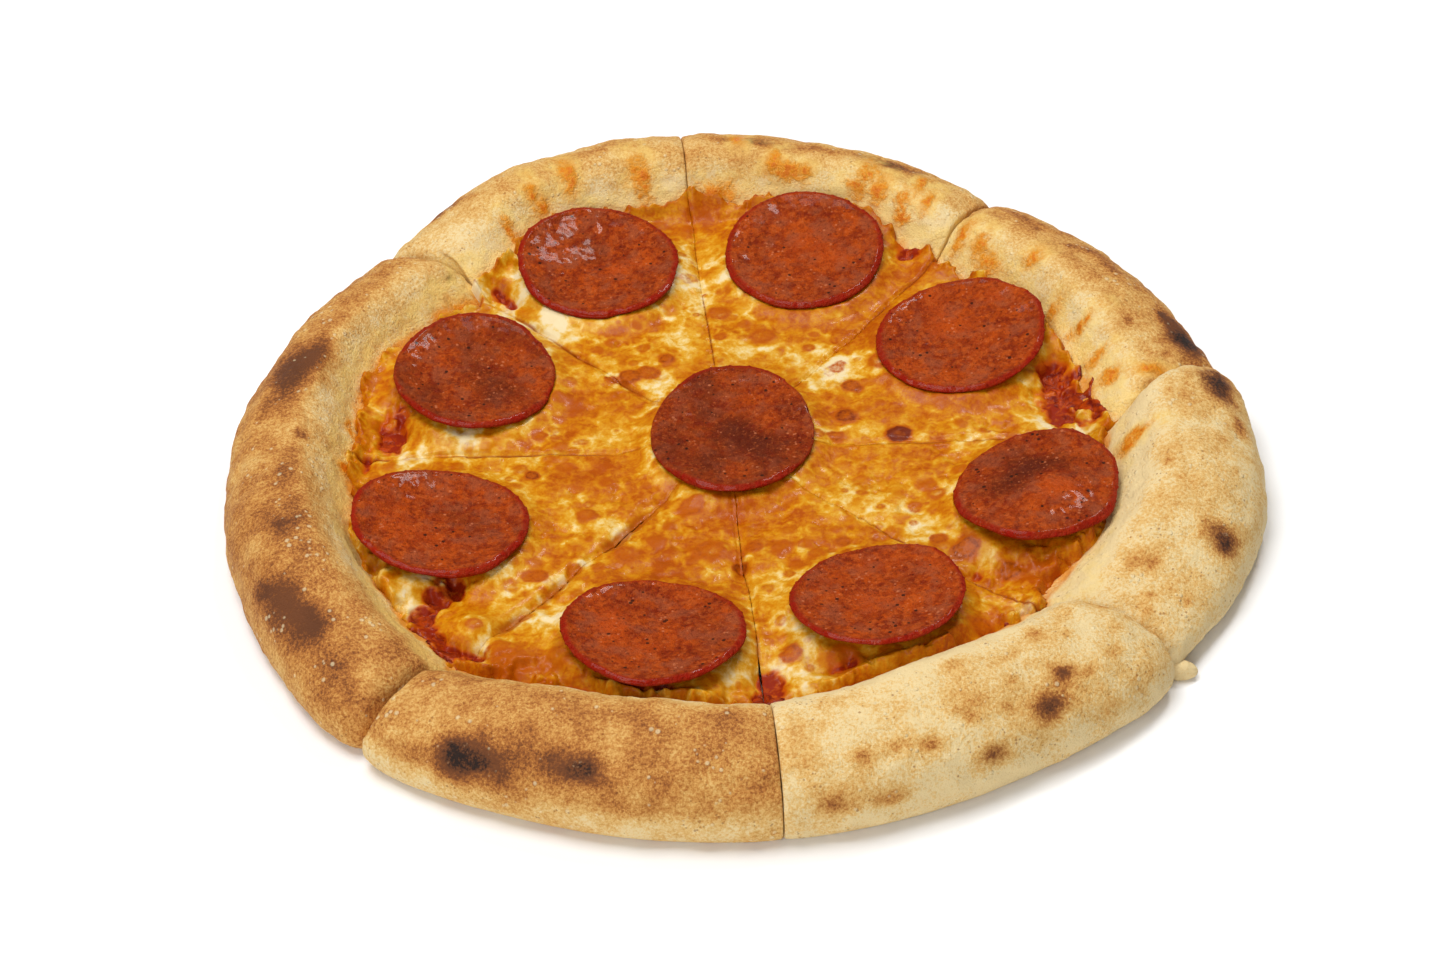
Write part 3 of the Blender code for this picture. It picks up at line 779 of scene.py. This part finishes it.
# Lumps of cheese that stand up: pixel, size, height
lumpPixels = (
    (476, 631, 6.5, 2.6), (582, 561, 3.5, 1), (621, 532, 3.5, 1), (546, 624, 6, 0.9), (1043, 427, 4, 0.6),
    (1060, 375, 2.4, 2.4), (1010, 572, 5, 1.3), (960, 616, 5, 0.6),
)

# More of them: angle, radius, size, height
lumpExtra = (
    (237, 110, 9, 1.2), (13, 101, 3, 3), (7, 107, 3, 3.2), (13, 110, 2.6, 2.6), (220, 107, 2.4, 2.2),
    (330, 104, 6, 1.2), (271, 97, 4, 0.6),
)

cheeseLumps = fromPhoto(lumpPixels) + list(lumpExtra)

# Places where the cheese is thin or missing and sauce shows: pixel, length, width, depth
poolPixels = (
    (392, 430, 24, 9, 4.8), (367, 464, 16, 5, 3.4), (471, 658, 12, 6, 4.4), (650, 692, 24, 6, 4),
    (1043, 555, 10, 12, 2.9), (1010, 572, 14, 9, 2.9), (977, 575, 8, 8, 2.6), (1065, 415, 6, 8, 2.6),
)

# More of them: angle, radius, length, width, depth
poolExtra = (
    (188, 107, 12, 4, 3), (216, 99, 12, 9, 4.6), (217, 104, 9, 9, 5), (219, 110, 10, 10, 5.4),
    (223, 114, 14, 8, 5.2), (227, 115, 12, 8, 5), (276, 100, 9, 14, 4.6), (274, 106, 6, 8, 4),
    (10, 106, 24, 20, 6.2), (8, 113, 14, 10, 5), (17, 104, 12, 12, 4.6), (273, 54, 4, 10, 2),
    (289, 100, 18, 6, 2.4), (57, 109, 10, 10, 3.6), (132, 101, 6, 16, 3.2), (202, 109, 10, 4, 3),
    (247, 110, 12, 4, 2.6), (300, 104, 10, 4, 2.6), (340, 108, 9, 4, 2.4), (30, 107, 8, 5, 3),
    (75, 112, 9, 5, 2.6), (118, 106, 8, 4, 2.6), (152, 103, 12, 4, 2.8),
)

pools = fromPhoto(poolPixels) + list(poolExtra)


def makeGrid():
    half, step = fieldLook["half"], fieldLook["step"]
    line = np.arange(-half, half + step / 2, step)
    x, y = np.meshgrid(line, line, indexing="ij")
    return line, x, y


def sampleField(field, x, y):
    half, step = fieldLook["half"], fieldLook["step"]
    limit = field.shape[0] - 1.001
    column = np.clip((x + half) / step, 0, limit)
    row = np.clip((y + half) / step, 0, limit)
    i, j = column.astype(int), row.astype(int)
    u, v = column - i, row - j
    near = field[i, j] * (1 - u) + field[i + 1, j] * u
    far = field[i, j + 1] * (1 - u) + field[i + 1, j + 1] * u
    return near * (1 - v) + far * v


def blurField(field, cells):
    for axis in (0, 1):
        field = sum(np.roll(field, shift, axis=axis) for shift in range(-cells, cells + 1)) / (2 * cells + 1)
    return field


def spreadField(field, cells):
    for _ in range(cells):
        field = np.max([np.roll(field, shift, axis=axis) for axis in (0, 1) for shift in (-1, 0, 1)], axis=0)
    return field


def castField(tree, x, y, start, direction, missing):
    ray = Vector((0, 0, direction))
    heights = np.full(x.size, missing, float)
    for number, (px, py) in enumerate(zip(x.ravel(), y.ravel())):
        hit = tree.ray_cast(Vector((px, py, start)), ray)[0]
        if hit:
            heights[number] = hit.z
    return heights.reshape(x.shape)


def fillSlots(field, low):
    # the slots between slices read as the dough beside them
    for _ in range(3):
        field = np.where(field < low, spreadField(field, 1), field)
    return field


def windowOf(line, place, reach):
    low = np.searchsorted(line, place - reach)
    high = np.searchsorted(line, place + reach)
    return slice(low, high)


def layShreds(line, x, y, rng):
    # shreds laid one over another: their height, and how pale each one is
    height = np.zeros(x.shape)
    cream = np.full(x.shape, 0.35)
    spots = rng.uniform(-122, 122, (fieldLook["shreds"], 2))
    lengths = rng.uniform(*fieldLook["shredLength"], len(spots))
    widths = rng.uniform(*fieldLook["shredWidth"], len(spots))
    lean = softNoise(spots, 38, 90) * 2.6 + rng.normal(0, 0.45, len(spots))
    angle = polarOf(spots[:, 0], spots[:, 1])[1]
    share = sliceValue("creamShare", angle) + 0.22 * softNoise(spots, 20, 91)
    isPale = rng.random(len(spots)) < share
    pale = np.where(isPale, rng.uniform(0.62, 1, len(spots)), rng.uniform(0, 0.4, len(spots)))
    for (px, py), length, width, turn, value in zip(spots, lengths, widths, lean, pale):
        reach = length / 2 + width + 1
        area = (windowOf(line, px, reach), windowOf(line, py, reach))
        dx, dy = x[area] - px, y[area] - py
        along = dx * math.cos(turn) + dy * math.sin(turn)
        across = dy * math.cos(turn) - dx * math.sin(turn) + 0.9 * np.sin(along / length * 5 + px)
        beyond = np.maximum(np.abs(along) - length / 2 + width, 0)
        gap = np.hypot(beyond, across) / width
        cover = 1 - smoothStep(0.55, 1.1, gap)
        cream[area] = cream[area] * (1 - cover) + value * cover
        dome = fieldLook["shredHeight"] * np.maximum(1 - gap * gap, 0)
        height[area] = height[area] * (1 - cover) + (0.45 * height[area] + dome) * cover
    return blurField(height, 2), blurField(cream, 1)


def brownSpots(line, x, y, rng):
    # the browned spots: their domes, how brown they are, and the paler ring round each
    dome = np.zeros(x.shape)
    spot = np.zeros(x.shape)
    halo = np.zeros(x.shape)
    marks = [(*pointAt(angle, radius), size, dark) for angle, radius, size, dark in cheeseSpots]
    for _ in range(fieldLook["looseSpots"]):
        place = pointAt(rng.uniform(0, 360), 112 * math.sqrt(rng.uniform(0.03, 1)))
        marks.append((*place, rng.uniform(*fieldLook["spotRadius"]), rng.uniform(0.2, 0.62)))
    for px, py, size, dark in marks:
        area = (windowOf(line, px, 2 * size + 2), windowOf(line, py, 2 * size + 2))
        places = np.stack([x[area].ravel(), y[area].ravel()], axis=1)
        wobble = 0.16 * softNoise(places, size * 1.2, 95) + 0.10 * softNoise(places, 1.6, 96)
        gap = np.hypot(x[area] - px, (y[area] - py) * 1.12) / size + wobble.reshape(x[area].shape)
        ring = 0.82 + 0.35 * np.exp(-((gap - 0.72) / 0.22) ** 2)
        spot[area] = np.maximum(spot[area], dark * ring * (1 - smoothStep(0.55, 1.25, gap)))
        halo[area] = np.maximum(halo[area], np.exp(-((gap - 1.4) / 0.25) ** 2))
        dome[area] = np.maximum(dome[area], 0.08 * size * np.maximum(1 - gap * gap, 0) ** 0.7)
    return dome, spot, halo


def poolField(x, y):
    depth = np.zeros(x.shape)
    for angle, radius, along, across, deep in pools:
        turn = math.radians(angle)
        px, py = pointAt(angle, radius)
        tangent = (y - py) * math.cos(turn) - (x - px) * math.sin(turn)
        outward = (x - px) * math.cos(turn) + (y - py) * math.sin(turn)
        depth = np.maximum(depth, deep * np.exp(-((tangent / along * 2) ** 2 + (outward / across * 2) ** 2)))
    return depth


def tintField(x, y, marks):
    total = np.zeros(x.shape)
    for angle, radius, size, share in marks:
        px, py = pointAt(angle, radius)
        total += share * np.exp(-((x - px) ** 2 + (y - py) ** 2) / size ** 2)
    return total


def sliceValue(name, angle):
    # a value that each slice has of its own
    value = np.zeros(angle.shape)
    for letter, (start, end) in sliceCuts.items():
        value = np.where((angle - start) % 360 < end - start, fieldLook[name][letter], value)
    return value


def meltedTone(x, y, angle, warped, shredTone, halo):
    # how cream the cheese is: a tone for each slice, marbled with pale veins and orange clouds
    flat = np.stack([x.ravel(), y.ravel()], axis=1)
    veins = 1 - np.clip(np.abs(softNoise(warped, 9, 160)) * 4.5, 0, 1).reshape(x.shape)
    fineVeins = 1 - np.clip(np.abs(softNoise(warped, 4.5, 161)) * 3.5, 0, 1).reshape(x.shape)
    clouds = smoothStep(0.15, 0.8, layeredNoise(warped, 8, 162)).reshape(x.shape)
    cream = blurField(sliceValue("creamShare", angle), 6) + 0.16 * softNoise(flat, 20, 91).reshape(x.shape)
    cream += np.clip(tintField(x, y, cheeseTints), -0.45, 0.9) * 0.5 + 0.42 * (shredTone - 0.35)
    cream += 0.20 * veins + 0.10 * fineVeins - 0.16 * clouds + 0.16 * halo + 0.04
    cream = 0.46 + (cream - 0.46) * 1.2
    return np.where(cream < 0.3, 0.3 + (cream - 0.3) * 0.5, cream), clouds


def makeFields():
    rng = np.random.default_rng(7)
    line, x, y = makeGrid()
    flat = np.stack([x.ravel(), y.ravel()], axis=1)
    angle = polarOf(x, y)[1]
    dough = fillSlots(castField(crustTree, x, y, 60, -1, 0.0), 4.0)
    under = castField(treeOf(pepperoni.values()), x, y, -5, 1, 99.0)
    shape = x.shape
    wave = layeredNoise(flat, 11, 100).reshape(shape)
    ripple = layeredNoise(flat, 4.5, 110).reshape(shape)
    warpX = x + 1.8 * softNoise(flat, 6, 120).reshape(shape) + 0.7 * softNoise(flat, 2.2, 122).reshape(shape)
    warpY = y + 1.8 * softNoise(flat, 6, 121).reshape(shape) + 0.7 * softNoise(flat, 2.2, 123).reshape(shape)
    warped = np.stack([warpX.ravel(), warpY.ravel()], axis=1)
    shredHeight, shredTone = layShreds(line, x, y, rng)
    shredHeight, shredTone = sampleField(shredHeight, warpX, warpY), sampleField(shredTone, warpX, warpY)
    dome, spot, halo = brownSpots(line, x, y, rng)
    cream, clouds = meltedTone(x, y, angle, warped, shredTone, halo)
    spot = np.maximum(spot, 0.22 * clouds * (1 - smoothStep(0.3, 0.8, cream)))
    pool = poolField(x, y) * (1 + 0.6 * ripple) - tintField(x, y, cheeseLumps)
    shore = fieldLook["sauceShore"] + 1.1 * wave + 0.6 * ripple + 3.4 * smoothStep(0.5, 2.5, pool)
    sauceCover = smoothStep(0, 2.4, shore - dough)
    sauce = dough - 1.8 + (fieldLook["sauceDepth"] + 1.8 + 0.35 * ripple) * sauceCover
    rise = blurField(sliceValue("shoreRise", angle), 6)
    shore = fieldLook["cheeseShore"] + 1.5 * wave + 1.6 * ripple + rise
    shore = np.maximum(shore, fieldLook["lowestShore"])
    cover = smoothStep(0, 3.2, shore - dough)
    edge = cover * (1 - smoothStep(2, 5, shore - dough))
    thick = fieldLook["cheeseDepth"] * cover - pool * cover
    thick += (0.35 + 0.3 * edge) * wave * cover + 0.9 * ripple * edge
    cheese = dough + fieldLook["sauceDepth"] - 3.2 * (1 - cover) + thick
    cheese += (shredHeight - 0.2 + dome * 0.8) * smoothStep(0.2, 1.8, thick)
    # a deep pool stays a thin skin: no hole opens inside the sheet
    cheese = np.where(cover > 0.3, np.maximum(cheese, dough - 0.7), cheese)
    red = (1 - smoothStep(0.2, 2.2, thick + 0.5 * ripple)) * smoothStep(0.5, 2.5, pool)
    red = red * (1 - smoothStep(11, 14, dough))
    # the cheese carries the pepperoni, and nothing pokes through them
    lift = np.where(under < 90, np.clip(under - 0.3 - cheese, 0, 3), 0) * (cover > 0.3)
    cheese = cheese + blurField(blurField(spreadField(lift, 6), 5), 5)
    cheese = np.where(under < 90, np.minimum(cheese, under - 0.15), cheese)
    sauce = np.where(under < 90, np.minimum(sauce, under - 0.2), sauce)
    return {"dough": dough, "sauce": sauce, "cheese": cheese, "cream": cream, "spot": spot, "red": red}


fields = makeFields()
print("fields of the sauce and cheese are made")


# Sheets of sauce and cheese, one for each slice

def addSheet(name, letter, step, reach, gap):
    # a fine grid over one slice, trimmed along its two cuts and beyond its reach
    start, end = sliceCuts[letter]
    fan = [cutCentre] + [pointAt(angle, reach) for angle in np.linspace(start, end, 9)]
    low, high = np.min(fan, axis=0) - 1, np.max(fan, axis=0) + 1
    size, middle = (high - low), (low + high) / 2
    deselectAll()
    columns, rows = int(size[0] / step), int(size[1] / step)
    bpy.ops.mesh.primitive_grid_add(x_subdivisions=columns, y_subdivisions=rows, size=1,
                                    location=(middle[0] * mm, middle[1] * mm, 0))
    piece = bpy.context.active_object
    piece.scale = (size[0] * mm, size[1] * mm, 1)
    piece.name = name
    piece.data.name = name
    bpy.ops.object.transform_apply(location=True, rotation=True, scale=True)
    bpy.context.scene.tool_settings.mesh_select_mode = (False, False, True)
    bpy.ops.object.mode_set(mode="EDIT")
    for angle, side in ((start, 1), (end, -1)):
        turn = math.radians(angle)
        normal = Vector((-math.sin(turn), math.cos(turn), 0)) * side
        place = Vector((*cutCentre, 0)) * mm + normal * gap / 2 * mm
        bpy.ops.mesh.select_all(action="SELECT")
        bpy.ops.mesh.bisect(plane_co=place, plane_no=normal, clear_inner=True)
    bpy.ops.mesh.select_all(action="DESELECT")
    bpy.ops.object.mode_set(mode="OBJECT")
    return piece


def dropPoints(piece, buried):
    # deletes these points, and any others that would leave two faces touching at one corner only
    bpy.context.scene.tool_settings.mesh_select_mode = (True, False, False)
    while buried.any():
        piece.data.vertices.foreach_set("select", buried)
        bpy.ops.object.mode_set(mode="EDIT")
        bpy.ops.mesh.delete(type="VERT")
        bpy.ops.object.mode_set(mode="OBJECT")
        edges = np.zeros(len(piece.data.edges) * 2, int)
        piece.data.edges.foreach_get("vertices", edges)
        loops = np.zeros(len(piece.data.loops), int)
        piece.data.loops.foreach_get("edge_index", loops)
        border = np.bincount(loops, minlength=len(piece.data.edges)) < 2
        count = np.bincount(edges.reshape(-1, 2)[border].ravel(), minlength=len(piece.data.vertices))
        faces = np.zeros(len(piece.data.loops), int)
        piece.data.loops.foreach_get("vertex_index", faces)
        loose = np.bincount(faces, minlength=len(piece.data.vertices)) == 0
        buried = (count > 2) | loose


def keepMain(piece):
    # islands off the sheet go, and small holes in it are closed
    points = readPoints(piece)
    middle = points.mean(axis=0)
    start = np.zeros(len(points), bool)
    start[np.argmin(np.hypot(*(points - middle)[:, :2].T))] = True
    bpy.context.scene.tool_settings.mesh_select_mode = (True, False, False)
    piece.data.vertices.foreach_set("select", start)
    bpy.ops.object.mode_set(mode="EDIT")
    bpy.ops.mesh.select_linked()
    bpy.ops.mesh.select_all(action="INVERT")
    bpy.ops.mesh.delete(type="VERT")
    bpy.ops.mesh.select_all(action="SELECT")
    bpy.ops.mesh.fill_holes(sides=60)
    bpy.ops.object.mode_set(mode="OBJECT")


def closeSheet(piece, bottom):
    # walls down from the outline, and a flat base
    bpy.ops.object.mode_set(mode="EDIT")
    bpy.ops.mesh.select_mode(type="EDGE")
    bpy.ops.mesh.select_all(action="SELECT")
    bpy.ops.mesh.region_to_loop()
    bpy.ops.mesh.extrude_edges_move(TRANSFORM_OT_translate={"value": (0, 0, -0.02)})
    bpy.ops.transform.resize(value=(1, 1, 0))
    bpy.ops.object.mode_set(mode="OBJECT")
    picked = np.zeros(len(piece.data.vertices), bool)
    piece.data.vertices.foreach_get("select", picked)
    points = readPoints(piece)
    points[picked, 2] = bottom
    writePoints(piece, points)
    bpy.ops.object.mode_set(mode="EDIT")
    bpy.ops.mesh.select_all(action="SELECT")
    bpy.ops.mesh.fill_holes(sides=0)
    bpy.ops.mesh.normals_make_consistent(inside=False)
    bpy.ops.object.mode_set(mode="OBJECT")


sheetLook = {
    "sauce": {"step": 0.9, "reach": 121, "gap": 0.6, "deepest": 1.2, "end": 124,
              "lowest": 5.6, "base": 5.2},
    "cheese": {"step": 0.46, "reach": 140, "gap": 0.06, "deepest": 1.0, "end": 137,
               "lowest": 6.7, "base": 6.4},
}

cutLook = {
    "wander": 0.6,
    "round": {1.0: (0.45, 1.3), 52.5: (0.4, 1.2), 94.7: (0.4, 1.2), 134.0: (0.7, 1.8), 180.2: (0.4, 1.3),
              230.0: (1.5, 4.2), 274.5: (0.9, 2.0), 318.8: (0.5, 1.3)},     # depth and width of each groove
    # where a cut has opened: from, to and how wide
    "open": {230.0: ((34, 60, 0.22), (60, 100, 0.12)), 274.5: ((88, 110, 0.3), (26, 88, 0.06)),
             134.0: ((40, 70, 0.1),), 1.0: ((40, 60, 0.1),)},
}


def wanderCuts(points, letter):
    # both sides of a cut stray the same way, and each is torn a little of its own
    edge = np.zeros(len(points))
    drop = np.zeros(len(points))
    for number, angle in enumerate(sliceCuts[letter]):
        side, ahead = cutDistance(points, angle)
        near = (1 - smoothStep(0, 5, np.abs(side))) * (ahead > 0)
        line = np.stack([ahead, np.full(len(ahead), angle % 360 * 10)], axis=1)
        shift = cutLook["wander"] * softNoise(line, 14, 130)
        torn = np.zeros(len(points))
        for low, high, width in cutLook["open"].get(angle % 360, ()):
            torn += width * smoothStep(low, low + 6, ahead) * (1 - smoothStep(high - 6, high, ahead))
        torn *= 0.75 + 0.5 * softNoise(line, 4, 141 + number)
        shift = (shift + (torn if number == 0 else -torn)) * near
        turn = math.radians(angle)
        points[:, 0] -= shift * math.sin(turn)
        points[:, 1] += shift * math.cos(turn)
        depth, width = cutLook["round"][angle % 360]
        groove = (1 - smoothStep(0, width, np.abs(side))) * (ahead > 0)
        groove *= 0.75 + 0.5 * softNoise(line, 9, 145)
        groove *= 0.3 + 0.7 * smoothStep(20, 34, ahead)
        drop = np.maximum(drop, depth * groove)
        edge = np.maximum(edge, groove)
    return edge, drop


def startSheet(kind, letter):
    # the sheet of one slice, without what the dough hides or lies beyond its end
    look = sheetLook[kind]
    piece = addSheet(kind + letter.upper(), letter, look["step"], look["reach"], look["gap"])
    points = readPoints(piece)
    deep = sampleField(fields["dough"] - fields[kind], points[:, 0], points[:, 1])
    beyond = polarOf(points[:, 0], points[:, 1])[0] > look["end"]
    dropPoints(piece, (deep > look["deepest"]) | beyond)
    keepMain(piece)
    return piece, readPoints(piece)


def finishSheet(kind, letter, piece, points, height, material):
    points[:, 2] = np.maximum(height, sheetLook[kind]["lowest"])
    writePoints(piece, points)
    closeSheet(piece, sheetLook[kind]["base"])
    dressPiece(piece, kind + "_" + letter, material)


def makeSauce(letter, material):
    piece, points = startSheet("sauce", letter)
    height = sampleField(fields["sauce"], points[:, 0], points[:, 1])
    finishSheet("sauce", letter, piece, points, height, material)


def makeCheese(letter, material):
    piece, points = startSheet("cheese", letter)
    edge, drop = wanderCuts(points, letter)
    x, y = points[:, 0], points[:, 1]
    for name in ("cream", "spot", "red"):
        writeTone(piece, name, sampleField(fields[name], x, y))
    writeTone(piece, "groove", edge)
    height = sampleField(fields["cheese"], x, y) - drop
    finishSheet("cheese", letter, piece, points, height, material)


def sauceMaterial():
    material, tree, shader = startMaterial("tomatoSauce")
    coords = addNode(tree, "TexCoord", {}).outputs["Object"]
    pulp = grain(tree, coords, 3.5, 4, 0.65, 0.5)
    base = mixColour(tree, ramp(tree, pulp, 0.35, 0.65), colour(104, 15, 0), colour(176, 62, 2))
    plug(tree, shader.inputs["Base Color"], base)
    plug(tree, shader.inputs["Normal"], bumpOf(tree, pulp, 0.9, 0.8))
    shader.inputs["Roughness"].default_value = 0.3
    shader.inputs["Specular IOR Level"].default_value = 0.15
    shader.inputs["Coat Weight"].default_value = 0.14
    shader.inputs["Coat Roughness"].default_value = 0.1
    return material


def cheeseMaterial():
    material, tree, shader = startMaterial("meltedCheese")
    coords = addNode(tree, "TexCoord", {}).outputs["Object"]
    broad = grain(tree, coords, 10, 3, 0.6, 0.4)
    medium = grain(tree, coords, 3.0, 3, 0.6, 0.6)
    fine = grain(tree, coords, 1.0, 3, 0.65)
    creamTone = calculate(tree, "ADD", toneOf(tree, "cream"), ramp(tree, medium, 0.3, 0.7, -0.13, 0.13))
    creamTone = calculate(tree, "ADD", creamTone, ramp(tree, broad, 0.3, 0.7, -0.1, 0.1))
    creamTone = calculate(tree, "ADD", creamTone, ramp(tree, fine, 0.3, 0.7, -0.08, 0.08))
    stops = ((0.0, (170, 76, 1)), (0.2, (188, 102, 1)), (0.4, (202, 128, 5)), (0.6, (214, 156, 38)),
             (0.8, (226, 190, 108)), (1.0, (230, 209, 162)))
    base = colourRamp(tree, creamTone, stops)
    spotTone = calculate(tree, "ADD", toneOf(tree, "spot"), ramp(tree, fine, 0.3, 0.7, -0.12, 0.12))
    base = paint(tree, base, ramp(tree, spotTone, 0.1, 0.75), 178, 84, 0)
    base = paint(tree, base, ramp(tree, spotTone, 0.66, 1.25), 112, 36, 2)
    groove = ramp(tree, toneOf(tree, "groove"), 0.4, 1.0, 0, 0.85)
    base = paint(tree, base, groove, 160, 74, 8)
    redTone = calculate(tree, "MULTIPLY", toneOf(tree, "red"), ramp(tree, medium, 0.3, 0.7, 0.7, 1.4))
    base = paint(tree, base, ramp(tree, redTone, 0.08, 0.6, 0, 0.9), 190, 80, 6)
    base = paint(tree, base, ramp(tree, redTone, 0.45, 1.05, 0, 0.95), 136, 28, 2)
    plug(tree, shader.inputs["Base Color"], base)
    plug(tree, shader.inputs["Roughness"], ramp(tree, medium, 0.3, 0.7, 0.32, 0.5))
    height = calculate(tree, "MULTIPLY", medium, 0.8)
    height = calculate(tree, "ADD", height, calculate(tree, "MULTIPLY", fine, 0.35))
    plug(tree, shader.inputs["Normal"], bumpOf(tree, height, 0.5, 0.5))
    shader.inputs["Specular IOR Level"].default_value = 0.11
    shader.inputs["Coat Weight"].default_value = 0.08
    shader.inputs["Coat Roughness"].default_value = 0.12
    return material


sauceFinish = sauceMaterial()
cheeseFinish = cheeseMaterial()
for letter in sliceCuts:
    makeSauce(letter, sauceFinish)
    makeCheese(letter, cheeseFinish)
print("sauce and cheese are laid")
